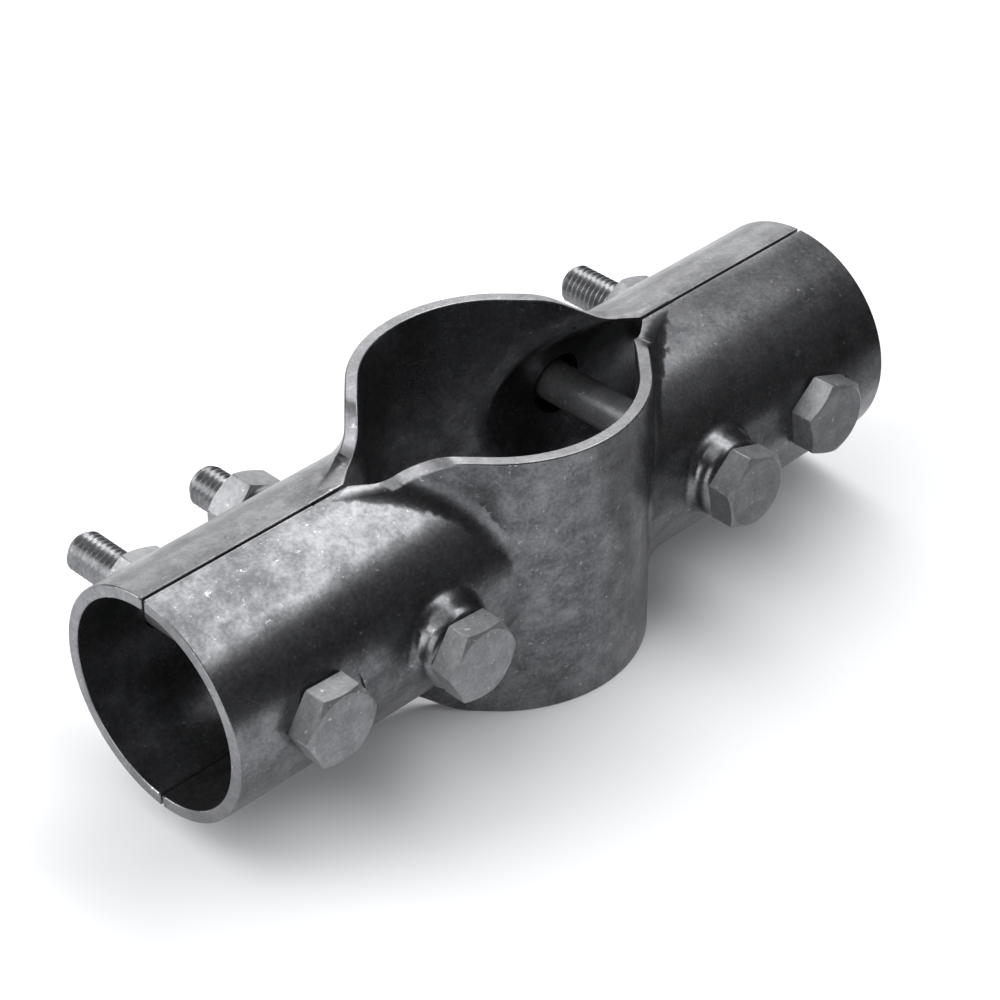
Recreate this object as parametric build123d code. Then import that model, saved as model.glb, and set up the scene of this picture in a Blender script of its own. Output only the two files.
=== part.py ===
"""Four-way tube clamp: two pressed steel half shells that grip a through post and join two rail
tubes to it, drawn together by four long hexagon bolts that cross the rail sleeves.

Frame, in millimetres: the origin is where the post axis and the rail axis cross. +Z is up along
the post, +X runs along the rails, and +Y points from the bolt heads to the nuts.
"""

from build123d import *
import os
from math import cos, hypot, radians, sin, tan

# ---- tubes that the clamp holds --------------------------------------------------------------
POST_DIAMETER = 60.3            # 2 inch pipe, which passes straight through
RAIL_DIAMETER = 48.3            # 1 1/2 inch pipe, one end in each sleeve
TUBE_CLEARANCE = 0.25           # radial play between a tube and its shell

# ---- pressed half shells ---------------------------------------------------------------------
SHEET = 3.0                     # thickness of the steel sheet
PARTING_GAP = 0.8               # between the edges of the two shells
CLAMP_LENGTH = 200.0            # over both sleeve ends, along X
COLLAR_HEIGHT = 67.0            # of the collar round the post, along Z
RIM_FLAT = 60.0                 # width over which the collar's rim keeps its full height
RIM_SLOPE = 34.0                # degrees at which the rim then falls to the sleeve
RIM_BEND = 0.5                  # share of that fall taken by the bends at its two ends
FLANK_ANGLE = 47.0              # degrees between the collar's straight flanks and the rail axis
VALLEY_RADIUS = 8.0             # of the pressed valley between sleeve and collar, outside
PAD_LIFT = 5.0                  # of the pad under an inner bolt, above the sleeve's crown
PAD_DIAMETER = 18.8             # of the pad's flat top, before its edge is bevelled
PAD_DRAFT = 8.0                 # degrees between the pad's wall and the bolt
PAD_BEVEL = 0.9                 # round the pad's flat top
PAD_FOOT = 1.5                  # bevel where the pad's wall meets the sleeve

# ---- bolts and nuts, M10 ---------------------------------------------------------------------
THREAD_DIAMETER = 10.0
ACROSS_FLATS = 17.0
HEAD_HEIGHT = 6.4
NUT_HEIGHT = 8.0
HEX_FACE = 16.2                 # diameter left flat by the turned chamfer on heads and nuts
HEX_CHAMFER = 30.0              # degrees of that chamfer
POINT_CHAMFER = 1.2             # on the bolt's threaded end
THREAD_END = 52.3               # of every bolt, behind the rail axis
THREAD_PLAY = 0.1               # radial, between the bolt and the nut's plain bore
HOLE_CLEARANCE = 0.5            # radial, between a bolt and its holes in the shells
BOLT_TO_POST = 12.35            # from the post's surface to the inner bolt of each sleeve
BOLT_TO_END = 23.0              # from the outer bolt to the end of its sleeve
SEAT_DEPTH = 0.6                # of the flat coined in the sleeve's crown under a head or nut
SEAT_DIAMETER = 22.0

# ---- sizes that follow -----------------------------------------------------------------------
post_radius = POST_DIAMETER / 2 + TUBE_CLEARANCE
rail_radius = RAIL_DIAMETER / 2 + TUBE_CLEARANCE
sleeve_radius = rail_radius + SHEET
inner_seat = sleeve_radius + PAD_LIFT
outer_seat = sleeve_radius - SEAT_DEPTH
bolt_inner = POST_DIAMETER / 2 + BOLT_TO_POST
bolt_outer = CLAMP_LENGTH / 2 - BOLT_TO_END
collar_tall = COLLAR_HEIGHT + 12 * VALLEY_RADIUS        # before the rim is trimmed
behind = 2 * SHEET                                      # the press forms run on past the parting
crown_clear = 0.1                                       # between the sleeve's crown and the trim
UPWARD = Align.CENTER, Align.CENTER, Align.MIN          # stands on Z = 0
FORWARD = Align.CENTER, Align.MAX, Align.CENTER         # lies in front of Y = 0

# Each bolt: its name, its X, how far its head and nut seat from the rail axis, and how far the
# head and the nut came to rest turned, in degrees.
BOLTS = [
    ("left_outer", -bolt_outer, outer_seat, 3.0, 14.0),
    ("left_inner", -bolt_inner, inner_seat, 4.0, 22.0),
    ("right_inner", bolt_inner, inner_seat, 19.0, 8.0),
    ("right_outer", bolt_outer, outer_seat, 21.0, 17.0),
]


def collar_plan(radius):
    """Seen from above: an arc round the post, with a straight tangent flank to each side."""
    across, along = radius * sin(radians(FLANK_ANGLE)), radius * cos(radians(FLANK_ANGLE))
    reach = across + (along + behind) / tan(radians(FLANK_ANGLE))
    arc = ThreePointArc((-across, -along), (0, -radius), (across, -along))
    flanks = Polyline((across, -along), (reach, behind), (-reach, behind), (-across, -along))
    return make_face([arc, flanks])


def pad_form(growth):
    """A blunt cone facing forward, for the pad under an inner bolt."""
    height = rail_radius + PAD_LIFT + growth
    top = PAD_DIAMETER / 2 - (SHEET - growth) * tan(radians(45 - PAD_DRAFT / 2))
    depth = height - 0.7 * rail_radius                  # the foot ends inside the sleeve
    cone = Cone(top + depth * tan(radians(PAD_DRAFT)), top, depth, align=UPWARD)
    return Pos(0, depth - height, 0) * Rot(90, 0, 0) * cone


def press_form(growth, valley):
    """The solid that one face of the sheet is pressed to, this much larger than the tubes."""
    sleeve = Rot(0, 90, 0) * Cylinder(rail_radius + growth, 1.5 * CLAMP_LENGTH)
    front_half = Pos(0, behind, 0) * Box(2 * CLAMP_LENGTH, CLAMP_LENGTH, collar_tall, align=FORWARD)
    collar = Pos(0, 0, -collar_tall / 2) * extrude(collar_plan(post_radius + growth), collar_tall)
    form = (sleeve & front_half) + collar

    def on_sleeve(edge):
        middle = edge @ 0.5
        return abs(hypot(middle.Y, middle.Z) - rail_radius - growth) < 0.01

    def in_valley(edge):
        return on_sleeve(edge) and (edge @ 0.5).Y < behind - 0.01

    form = fillet(form.edges().filter_by(in_valley), valley)
    for x in (-bolt_inner, bolt_inner):
        form += Pos(x, 0, 0) * pad_form(growth)
    return form


def bevel_pads(form):
    """Bevel the flat top of each pad, and its foot on the sleeve."""
    def on_pad(edge):
        middle = edge.center(CenterOf.BOUNDING_BOX)
        return abs(abs(middle.X) - bolt_inner) < 1 and abs(middle.Z) < 1

    form = chamfer(form.edges().filter_by(on_pad).filter_by(GeomType.CIRCLE), PAD_BEVEL)
    return chamfer(form.edges().filter_by(on_pad).filter_by(GeomType.BSPLINE), PAD_FOOT)


def blank_outline():
    """Seen from the front: the sleeves, with the taller collar rising out of them."""
    half, crown = CLAMP_LENGTH / 2, sleeve_radius + crown_clear
    top, shoulder = COLLAR_HEIGHT / 2, RIM_FLAT / 2
    foot = shoulder + (top - crown) / tan(radians(RIM_SLOPE))
    bend = RIM_BEND * (top - crown) / sin(radians(RIM_SLOPE)) / (2 * tan(radians(RIM_SLOPE / 2)))
    quarter = [(half, crown), (foot, crown), (shoulder, top)]
    upper = quarter + [(-x, z) for x, z in reversed(quarter)]
    outline = Polygon(*upper, *[(x, -z) for x, z in reversed(upper)], align=None)
    bends = outline.vertices().filter_by(lambda corner: abs(corner.X) < half - 1)
    return Plane.XZ * fillet(bends, bend)


def half_shell():
    """The front shell: sheet between two press forms, trimmed to its blank and pierced."""
    outside = bevel_pads(press_form(SHEET, VALLEY_RADIUS))
    inside = press_form(0, VALLEY_RADIUS + SHEET)
    depth = post_radius + 2 * SHEET
    blank = Pos(0, -PARTING_GAP / 2, 0) * extrude(blank_outline(), depth)
    shell = (outside - inside) & blank
    hole = Cylinder(THREAD_DIAMETER / 2 + HOLE_CLEARANCE, 4 * SHEET)
    coin = Cylinder(SEAT_DIAMETER / 2, 2 * SHEET, align=UPWARD)
    for name, x, seat, head_turn, nut_turn in BOLTS:
        shell -= Pos(x, -seat, 0) * Rot(90, 0, 0) * (hole + coin)
    return shell


def hexagon(height, both_faces):
    """A hexagon standing on Z = 0, its corners turned off at the top face or at both."""
    blank = extrude(RegularPolygon(ACROSS_FLATS / 2, 6, major_radius=False), height)
    face_radius = HEX_FACE / 2
    foot_radius = face_radius + height / tan(radians(HEX_CHAMFER))
    turning = Cone(foot_radius, face_radius, height, align=UPWARD)
    turned = blank & turning
    if both_faces:
        turned &= Pos(0, 0, height) * Rot(180, 0, 0) * turning
    return turned


def bolt(length, turn):
    """Along Z: the shank runs up from the head's seat at Z = 0, and the head hangs below."""
    head = Rot(180, 0, 0) * hexagon(HEAD_HEIGHT, both_faces=False)
    shank = Cylinder(THREAD_DIAMETER / 2, length, align=UPWARD)
    shank = chamfer(shank.edges().group_by(Axis.Z)[-1], POINT_CHAMFER)
    return Rot(0, 0, turn) * (head + shank)


def nut(turn):
    """Along Z, standing on its seat at Z = 0."""
    bore = Cylinder(THREAD_DIAMETER / 2 + THREAD_PLAY, 4 * NUT_HEIGHT)
    return Rot(0, 0, turn) * (hexagon(NUT_HEIGHT, both_faces=True) - bore)


def main():
    os.makedirs("parts", exist_ok=True)
    front = half_shell()
    pieces = {"front_shell": front, "rear_shell": Rot(0, 0, 180) * front}
    along = Rot(-90, 0, 0)                              # from along Z to along +Y
    for name, x, seat, head_turn, nut_turn in BOLTS:
        pieces[f"bolt_{name}"] = Pos(x, -seat, 0) * along * bolt(seat + THREAD_END, head_turn)
        pieces[f"nut_{name}"] = Pos(x, seat, 0) * along * nut(nut_turn)
    for name, piece in pieces.items():
        export_step(piece, f"parts/{name}.step")


main()
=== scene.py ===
"""Looks of a four-way tube clamp: two pressed half shells drawn together by four M10 bolts."""

import bmesh
import bpy
from math import copysign, cos, hypot, pi, radians, sin
from mathutils import Matrix, Vector


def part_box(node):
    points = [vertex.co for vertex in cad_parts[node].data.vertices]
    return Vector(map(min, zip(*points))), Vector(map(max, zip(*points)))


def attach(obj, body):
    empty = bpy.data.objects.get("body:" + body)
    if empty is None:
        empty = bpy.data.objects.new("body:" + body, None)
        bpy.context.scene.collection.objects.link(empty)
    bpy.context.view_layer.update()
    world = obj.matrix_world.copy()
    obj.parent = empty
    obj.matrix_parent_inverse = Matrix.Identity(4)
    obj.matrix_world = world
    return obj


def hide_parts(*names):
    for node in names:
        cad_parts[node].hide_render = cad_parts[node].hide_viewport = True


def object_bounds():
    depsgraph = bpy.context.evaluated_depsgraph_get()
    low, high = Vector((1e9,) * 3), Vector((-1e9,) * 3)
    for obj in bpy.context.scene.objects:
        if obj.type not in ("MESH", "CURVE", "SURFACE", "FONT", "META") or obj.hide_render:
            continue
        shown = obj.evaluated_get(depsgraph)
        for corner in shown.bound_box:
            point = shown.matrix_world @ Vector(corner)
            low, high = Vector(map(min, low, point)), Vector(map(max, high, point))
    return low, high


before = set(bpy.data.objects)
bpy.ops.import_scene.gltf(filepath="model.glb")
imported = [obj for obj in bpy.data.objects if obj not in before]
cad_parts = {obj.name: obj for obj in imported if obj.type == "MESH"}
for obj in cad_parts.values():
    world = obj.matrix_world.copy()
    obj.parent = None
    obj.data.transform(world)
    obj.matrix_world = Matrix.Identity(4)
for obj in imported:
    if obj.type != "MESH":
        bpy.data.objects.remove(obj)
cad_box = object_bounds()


# ---- Front and rear half shells --------------------------------------------------------------
# The two halves are one steel pressing used twice: sheared from sheet, tumbled to round its
# edges, pressed over a form and dipped. The dip leaves its faces a dull, clouded dark grey; the
# cut edges are painted a little lighter, partly as wear and partly as a painted highlight.

MM = 0.001
SHEET = 3.0 * MM
PARTING_GAP = 0.8 * MM
SLEEVE_RADIUS = 27.4 * MM               # outside, round the rail axis
COLLAR_RADIUS = 33.4 * MM               # outside, round the post axis
FLANK_ANGLE = radians(47)               # between the collar's flanks and the rail axis
VALLEY_RADIUS = 8.0 * MM                # outside, between sleeve and collar
EDGE_ROUND = 0.4 * MM
SLEEVE_END = cad_box[1].x

FACET_ANGLE = 2                         # degrees that one facet turns round a sleeve or the collar
SHARP = radians(50)                     # faces that turn by more than this meet at an edge
SQUARE = 0.99                           # of a normal's length, where it runs along an axis
OUTWARD = 0.997                         # of a normal's length, where it points off an axis
PLAY = 0.1 * MM                         # how far off its place a facet may be and still be found
ON_FORM = 0.01 * MM                     # how far off a press form a point may be and still lie on it
WELD = 0.002 * MM                       # points closer than this are one
SLIVER = 0.005 * MM                     # edges shorter than this are taken out
ROLLS = 12                              # steps in which the valley's ball comes to rest


class Socket:
    """A shader value that can be written into arithmetic."""

    def __init__(self, tree, socket):
        self.tree, self.socket = tree, socket

    def math(self, operation, *values, clamp=False):
        """A Math node on these values."""
        node = self.tree.nodes.new("ShaderNodeMath")
        node.operation, node.use_clamp = operation, clamp
        for slot, value in zip(node.inputs, values):
            if isinstance(value, Socket):
                self.tree.links.new(value.socket, slot)
            else:
                slot.default_value = value
        return Socket(self.tree, node.outputs[0])

    def __add__(self, other):
        return self.math("ADD", self, other)

    def __sub__(self, other):
        return self.math("SUBTRACT", self, other)

    def __mul__(self, other):
        return self.math("MULTIPLY", self, other)

    def __truediv__(self, other):
        return self.math("DIVIDE", self, other)

    def __radd__(self, other):
        return self.math("ADD", other, self)

    def __rsub__(self, other):
        return self.math("SUBTRACT", other, self)

    def __rmul__(self, other):
        return self.math("MULTIPLY", other, self)

    def __rtruediv__(self, other):
        return self.math("DIVIDE", other, self)

    def clamped(self):
        """Held between 0 and 1."""
        return self.math("ADD", self, 0.0, clamp=True)

    def between(self, low, high):
        """0 below low, 1 above high, and smooth between."""
        step = ((self - low) / (high - low)).clamped()
        return step * step * (3 - 2 * step)


class Finish:
    """A material under construction, with its Principled shader and its Object coordinates."""

    def __init__(self, name, metallic=0.0):
        self.material = bpy.data.materials.new(name)
        self.material.use_nodes = True
        self.tree = self.material.node_tree
        self.shader = self.tree.nodes["Principled BSDF"]
        self.shader.inputs["Metallic"].default_value = metallic
        self.place = self.node("ShaderNodeTexCoord", out="Object")

    def node(self, kind, settings=(), out=0, **inputs):
        """Any node: its settings first, then its values or links, and one of its outputs. A
        socket goes by its name, or as i0, i1 and so on by its place."""
        node = self.tree.nodes.new(kind)
        for name, value in dict(settings).items():
            setattr(node, name, value)
        for name, value in inputs.items():
            slot = node.inputs[int(name[1:])] if name[1:].isdigit() else node.inputs[name]
            if isinstance(value, Socket):
                self.tree.links.new(value.socket, slot)
            else:
                slot.default_value = value
        return Socket(self.tree, node.outputs[out])

    def noise(self, size, detail=3.0, roughness=0.55, stretch=(1, 1, 1)):
        """Cloudy noise from 0 to 1, in grains of this size in metres."""
        stretched = self.node("ShaderNodeMapping", Vector=self.place, Scale=stretch)
        return self.node("ShaderNodeTexNoise", out="Fac", Vector=stretched, Scale=1 / size,
                         Detail=detail, Roughness=roughness)

    def mix(self, factor, first, second):
        """A colour between two others."""
        return self.node("ShaderNodeMix", {"data_type": "RGBA"}, out=2, i0=factor, i6=first, i7=second)

    def feed(self, **inputs):
        """Links values to the shader's sockets, with _ for a space in a socket's name."""
        for name, value in inputs.items():
            self.tree.links.new(value.socket, self.shader.inputs[name.replace("_", " ")])

    def bump(self, height, depth, strength):
        """Bumps of this depth in metres feed the shader's normal."""
        self.feed(Normal=self.node("ShaderNodeBump", out="Normal", Height=height,
                                   Distance=depth, Strength=strength))


def welded(node):
    """A CAD node's mesh with its loose triangles joined up, ready to be worked on."""
    shape = bmesh.new()
    shape.from_mesh(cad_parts[node].data)
    bmesh.ops.remove_doubles(shape, verts=shape.verts, dist=WELD)
    return shape


def shading(shape, rounded, crease, truth):
    """For each corner of each face, its true direction, or else the mean of what runs on smoothly."""
    directions = []
    for face in shape.faces:
        face.smooth = True
        for corner in face.loops:
            plain = [near for near in corner.vert.link_loops if near.face not in rounded]
            around = plain or corner.vert.link_loops
            if face not in rounded:
                around = [near for near in plain if near.face.normal.angle(face.normal, 0) < crease]
            mean = Vector()
            for near in around:
                mean += near.calc_angle() * near.face.normal
            mean.normalize()
            directions.append(truth(corner.vert.co, face.normal) or mean)
    return directions


def placed(shape, name, *finishes):
    """Turns a bmesh into an object with these finishes."""
    mesh = bpy.data.meshes.new(name)
    shape.to_mesh(mesh)
    shape.free()
    for finish in finishes:
        mesh.materials.append(finish)
    piece = bpy.data.objects.new(name, mesh)
    bpy.context.scene.collection.objects.link(piece)
    return piece


def finished(shape, name, *finishes, rounded, crease, truth=lambda point, facing: None):
    """Places a piece of the clamp. Its rounded corners leave the flats beside them flat."""
    directions = shading(shape, rounded, crease, truth)
    piece = placed(shape, name, *finishes)
    piece.data.normals_split_custom_set(directions)
    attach(piece, "root")
    return piece


def dull_coat(name, light, dark, scuffs, roughness, metallic):
    """Dull clouded grey with fine speckle and faint scuffs."""
    steel = Finish(name, metallic)
    clouds = steel.noise(24 * MM, detail=4)
    mottle = steel.noise(5 * MM, detail=5, roughness=0.65)
    speckle = steel.noise(0.9 * MM, detail=2)
    drawn = steel.noise(3 * MM, stretch=(0.12, 1, 1))
    tone = (0.4 * clouds + 0.4 * mottle + 0.25 * speckle + 0.15 * drawn - 0.1).between(0.35, 0.68)
    rubbed = steel.noise(1.6 * MM, detail=6, roughness=0.7).between(0.62, 0.7) * scuffs
    steel.feed(Base_Color=steel.mix(rubbed, steel.mix(tone, dark, light), (0.6, 0.6, 0.61, 1)),
               Roughness=roughness - 0.08 * tone + 0.1 * speckle)
    steel.bump(0.6 * mottle + 0.4 * speckle, 0.06 * MM, strength=0.5)
    return steel.material


shell_face = dull_coat("dipped_sheet", light=(0.21, 0.213, 0.222, 1), dark=(0.08, 0.081, 0.086, 1),
                       scuffs=0.5, roughness=0.28, metallic=0.95)
# The cut edges and their rounds are painted lighter than the faces: partly rubbed wear, partly a
# painted highlight along the edges.
shell_edge_wear_and_highlight = dull_coat("sheared_edge_wear_and_highlight", light=(0.27, 0.272, 0.282, 1), dark=(0.14, 0.141, 0.148, 1),
                       scuffs=1.0, roughness=0.28, metallic=0.95)


def sheared(face):
    """Whether a face is one of the sheet's cut edges: a sleeve's end, the parting or the rim."""
    middle = face.calc_center_median()
    at_end = abs(face.normal.x) > SQUARE and abs(middle.x) > SLEEVE_END - PLAY
    at_parting = abs(middle.y) < PARTING_GAP / 2 + PLAY
    at_rim = abs(face.normal.y) < 1 - SQUARE and abs(middle.z) > SLEEVE_RADIUS + PLAY / 2
    return at_end or at_parting or at_rim


def off_sleeve(point):
    """Straight out from the rail axis."""
    return Vector((0, point.y, point.z)).normalized()


def off_collar(point):
    """Level, and square to the collar's wall: to its flank, or to the round between the flanks."""
    across = Vector((point.x, point.y, 0)).normalized()
    if abs(across.x) < sin(FLANK_ANGLE):
        return across
    return Vector((copysign(sin(FLANK_ANGLE), point.x), copysign(cos(FLANK_ANGLE), point.y), 0))


def valley_centre(point):
    """The centre of the ball that rolls along the valley, where it comes nearest to a point."""
    centre = point + VALLEY_RADIUS * (off_sleeve(point) + off_collar(point)) / 2
    for step in range(ROLLS):
        along = off_collar(centre).cross(off_sleeve(centre)).normalized()
        centre += along * along.dot(point - centre)
        for out, radius in ((off_collar(centre), COLLAR_RADIUS), (off_sleeve(centre), SLEEVE_RADIUS)):
            centre += out * (radius + VALLEY_RADIUS - out.dot(centre))
    return centre


def pressed_direction(point, facing):
    """Which way the pressing truly faces at a point of its sleeves, collar or valleys."""
    inward = valley_centre(point) - point
    closest, direction = SHARP, None
    for out, off in ((off_sleeve(point), off_sleeve(point).dot(point) - SLEEVE_RADIUS),
                     (off_collar(point), off_collar(point).dot(point) - COLLAR_RADIUS),
                     (inward.normalized(), VALLEY_RADIUS - inward.length)):
        out = out * copysign(1, out.dot(facing))
        if min(abs(off), abs(off + SHEET)) < ON_FORM and out.angle(facing, pi) < closest:
            closest, direction = out.angle(facing), out
    return direction


def rounder(shape, axis, start, radius):
    """Cuts the facets that lie round an axis into narrow ones, and trues up the cuts."""
    facets = []
    for face in shape.faces:
        middle = face.calc_center_median()
        across = middle - middle.dot(axis) * axis
        if abs(across.length - radius) < PLAY and abs(face.normal.dot(across)) > OUTWARD * radius:
            facets.append(face)
    part = list({element for face in facets for element in (face, *face.edges, *face.verts)})
    for step in range(180 // FACET_ANGLE):
        turned = Matrix.Rotation(radians(FACET_ANGLE * (step + 0.5)), 3, axis) @ start
        part = bmesh.ops.bisect_plane(shape, geom=part, plane_co=(0, 0, 0), plane_no=turned)["geom"]
    for point in {point for point in part if isinstance(point, bmesh.types.BMVert)}:
        across = point.co - point.co.dot(axis) * axis
        point.co += across * (radius / across.length - 1)


for node in ("front_shell", "rear_shell"):
    sheet = welded(node)
    for depth in (0, SHEET):
        rounder(sheet, Vector((1, 0, 0)), Vector((0, 1, 0)), SLEEVE_RADIUS - depth)
        rounder(sheet, Vector((0, 0, 1)), Vector((1, 0, 0)), COLLAR_RADIUS - depth)
    bmesh.ops.dissolve_degenerate(sheet, edges=sheet.edges, dist=SLIVER)
    for face in sheet.faces:
        face.material_index = int(sheared(face))
    edges = [edge for edge in sheet.edges if edge.calc_face_angle() > SHARP
             and {face.material_index for face in edge.link_faces} != {0}]
    tumbled = bmesh.ops.bevel(sheet, geom=edges, offset=EDGE_ROUND, segments=2, profile=0.5,
                              affect="EDGES", material=-1, clamp_overlap=False)["faces"]
    for face in tumbled:
        face.material_index = 1
    shell = finished(sheet, f"pressed_{node}", shell_face, shell_edge_wear_and_highlight,
                     rounded=set(tumbled), crease=SHARP, truth=pressed_direction)
    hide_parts(node)


# ---- Bolts and nuts --------------------------------------------------------------------------
# Four M10 hexagon bolts run from the front shell to the rear one, and their rolled threads stand
# well out of plain nuts. All are zinc plated steel gone dull, with turned chamfers on the corners.

PITCH = 1.5 * MM
THREAD_RADIUS = 5.0 * MM
THREAD_DEPTH = 0.92 * MM
POINT = 1.2 * MM                        # chamfer at the bolt's end
STEPS = 36                              # round one turn
SPARE = 2                               # turns wound past each end of a thread, then cut off
THREAD_WELD = 0.02 * MM                 # points of a thread closer than this are one
HEX_CORNER = radians(60)                # how far a hexagon's flats turn at a corner
HEX_PLAY = radians(10)
LONG_CORNER = 2 * MM                    # edges that run further than this along the bolt
CORNER_ROUND = 0.25 * MM
CREASE = radians(25)                    # faces at less than this run on smoothly

zinc = dull_coat("dull_zinc", light=(0.27, 0.273, 0.282, 1), dark=(0.14, 0.142, 0.148, 1),
                 scuffs=0.8, roughness=0.4, metallic=0.6)
rolled = dull_coat("rolled_thread", light=(0.3, 0.303, 0.312, 1), dark=(0.14, 0.142, 0.148, 1),
                   scuffs=0.8, roughness=0.31, metallic=0.88)


def soften_corners(shape):
    """Rounds the six long corners of a hexagon a little, and gives back the round faces."""
    corners = [edge for edge in shape.edges if edge.is_manifold
               and abs(edge.calc_face_angle() - HEX_CORNER) < HEX_PLAY
               and abs(edge.verts[0].co.y - edge.verts[1].co.y) > LONG_CORNER]
    rounding = bmesh.ops.bevel(shape, geom=corners, offset=CORNER_ROUND, segments=2, profile=0.5,
                               affect="EDGES", material=-1)
    return set(rounding["faces"])


def cut_across(shape, y, keep_front):
    """Cuts a shape square across at y and closes the cut."""
    everything = shape.verts[:] + shape.edges[:] + shape.faces[:]
    cut = bmesh.ops.bisect_plane(shape, geom=everything, plane_co=(0, y, 0), plane_no=(0, 1, 0),
                                 clear_outer=keep_front, clear_inner=not keep_front)
    rim = [edge for edge in cut["geom_cut"] if isinstance(edge, bmesh.types.BMEdge)]
    bmesh.ops.holes_fill(shape, edges=rim, sides=0)


def thread(x, start, end):
    """A right-hand thread along Y: one pitch of its outline, swept round and along."""
    shape = bmesh.new()
    root = THREAD_RADIUS - THREAD_DEPTH
    outline = [(0, root), (0.25, root), (0.5625, THREAD_RADIUS), (0.6875, THREAD_RADIUS), (1, root)]
    points = [shape.verts.new((x + radius, start + (pitches - SPARE) * PITCH, 0))
              for pitches, radius in outline]
    edges = [shape.edges.new(pair) for pair in zip(points, points[1:])]
    turns = int((end - start) / PITCH) + 2 * SPARE
    bmesh.ops.spin(shape, geom=points + edges, cent=(x, 0, 0), axis=(0, -1, 0),
                   dvec=(0, PITCH / STEPS, 0), angle=2 * pi * turns, steps=STEPS * turns)
    bmesh.ops.remove_doubles(shape, verts=shape.verts, dist=THREAD_WELD)
    cut_across(shape, start, keep_front=False)
    cut_across(shape, end, keep_front=True)
    for point in shape.verts:
        reach = hypot(point.co.x - x, point.co.z)
        allowed = THREAD_RADIUS - max(point.co.y - end + POINT, 0)
        if reach > allowed:
            point.co.x = x + (point.co.x - x) * allowed / reach
            point.co.z *= allowed / reach
    bmesh.ops.recalc_face_normals(shape, faces=shape.faces)
    if shape.calc_volume(signed=True) < 0:          # it may judge by a flank that looks back
        bmesh.ops.reverse_faces(shape, faces=shape.faces)
    return shape


def add_to(first, second):
    """Puts the second bmesh into the first, and gives back the faces that it brings."""
    before = set(first.faces)
    carrier = bpy.data.meshes.new("carrier")
    second.to_mesh(carrier)
    second.free()
    first.from_mesh(carrier)
    bpy.data.meshes.remove(carrier)
    return set(first.faces) - before


for place in ("left_outer", "left_inner", "right_inner", "right_outer"):
    low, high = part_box(f"bolt_{place}")
    nut_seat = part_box(f"nut_{place}")[0].y
    shank = welded(f"bolt_{place}")
    cut_across(shank, nut_seat + PITCH, keep_front=True)        # it ends a little inside the thread
    rounded = soften_corners(shank)
    for face in add_to(shank, thread((low.x + high.x) / 2, nut_seat, high.y)):
        face.material_index = 1
        if abs(face.normal.y) < SQUARE:
            rounded.add(face)
    bolt = finished(shank, f"threaded_bolt_{place}", zinc, rolled, rounded=rounded, crease=CREASE)
    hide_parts(f"bolt_{place}")

    hexagon = welded(f"nut_{place}")
    rounded = soften_corners(hexagon)
    nut = finished(hexagon, f"hexagon_nut_{place}", zinc, rounded=rounded, crease=CREASE)
    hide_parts(f"nut_{place}")


# ---- Floor, light and camera -----------------------------------------------------------------
# The clamp stands on its lower collar rim on a plain pale floor, seen from the left of the bolt
# heads and above. Soft lights stand over it and to all sides but the front, where two sheets of
# dark felt keep the steel's reflections deep.

FLOOR = cad_box[0].z
FLOOR_REACH = 4.0


def one_colour(name, colour, roughness):
    """A finish that is the same all over."""
    finish = Finish(name)
    finish.shader.inputs["Base Color"].default_value = (*colour, 1)
    finish.shader.inputs["Roughness"].default_value = roughness
    return finish.material


floor_shape = bmesh.new()
bmesh.ops.create_grid(floor_shape, x_segments=1, y_segments=1, size=FLOOR_REACH,
                      matrix=Matrix.Translation((0, 0, FLOOR)))
floor = placed(floor_shape, "pale_floor", one_colour("pale_paper", (0.64, 0.64, 0.65), 0.9))


def flag(name, width, height, turned, place, shade):
    """A sheet of dark felt that only the steel's reflections see."""
    shape = bmesh.new()
    bmesh.ops.create_grid(shape, x_segments=1, y_segments=1, size=0.5)
    bmesh.ops.scale(shape, verts=shape.verts, vec=(width, height, 1))
    bmesh.ops.rotate(shape, verts=shape.verts, cent=(0, 0, 0), matrix=turned)
    bmesh.ops.translate(shape, verts=shape.verts, vec=place)
    felt = placed(shape, name, one_colour(name, (shade, shade, shade), 1.0))
    felt.visible_camera = felt.visible_diffuse = felt.visible_shadow = False


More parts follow.
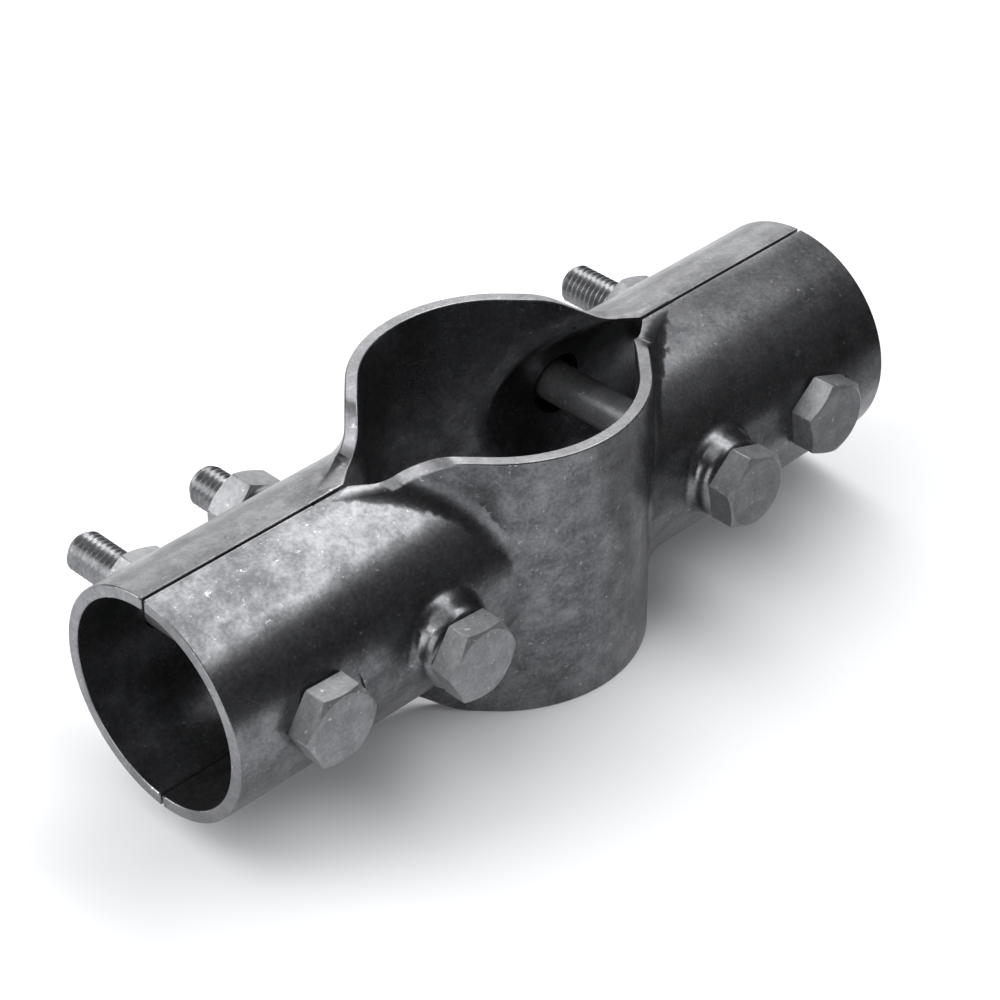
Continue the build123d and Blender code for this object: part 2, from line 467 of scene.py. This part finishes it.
upright = Matrix.Rotation(radians(35), 3, "Z") @ Matrix.Rotation(radians(90), 3, "X")
flag("upright_flag", 0.5, 0.3, upright, (0.12, -0.17, 0.11), 0.01)
flag("floor_flag", 0.4, 0.4, Matrix.Identity(3), (0.245, -0.245, FLOOR + 1 * MM), 0.25)


def softbox(name, place, width, height, power):
    """A flat area light that faces the clamp."""
    light = bpy.data.lights.new(name, "AREA")
    light.shape, light.size, light.size_y, light.energy = "RECTANGLE", width, height, power
    lamp = bpy.data.objects.new(name, light)
    lamp.location = place
    lamp.rotation_mode = "QUATERNION"
    lamp.rotation_quaternion = (-Vector(place)).to_track_quat("-Z", "Y")
    bpy.context.scene.collection.objects.link(lamp)


softbox("overhead", (-0.3, 0.4, 1.1), 1.1, 1.1, 4.8)
softbox("right_strip", (0.33, 0.0, 0.65), 1.2, 0.3, 5.6)
softbox("left_panel", (-0.9, -0.15, 0.35), 0.6, 0.6, 3.5)
softbox("right_back_panel", (0.7, 0.85, 0.38), 0.9, 0.7, 4.0)
softbox("left_back_panel", (-0.7, 0.62, 0.5), 0.7, 0.8, 8.0)

room = bpy.data.worlds.new("room")
room.use_nodes = True
room.node_tree.nodes["Background"].inputs["Color"].default_value = (0.92, 0.94, 0.96, 1)
room.node_tree.nodes["Background"].inputs["Strength"].default_value = 0.68
room.cycles_visibility.glossy = False
bpy.context.scene.world = room
bpy.context.scene.view_settings.view_transform = "Standard"

AZIMUTH, ELEVATION, TILT = radians(-44.4), radians(36.2), radians(-0.54)
DISTANCE = 0.669                        # from the origin
LENS, SENSOR = 108.0, 36.0              # millimetres, as cameras are marked
backward = Vector((sin(AZIMUTH) * cos(ELEVATION), -cos(AZIMUTH) * cos(ELEVATION), sin(ELEVATION)))
level = (-backward).to_track_quat("-Z", "Y")
camera = bpy.data.objects.new("camera", bpy.data.cameras.new("camera"))
camera.data.lens, camera.data.sensor_width = LENS, SENSOR
camera.data.clip_start = 0.01
camera.location = DISTANCE * backward
camera.rotation_mode = "QUATERNION"
camera.rotation_quaternion = level @ Matrix.Rotation(TILT, 3, "Z").to_quaternion()
bpy.context.scene.collection.objects.link(camera)
bpy.context.scene.camera = camera
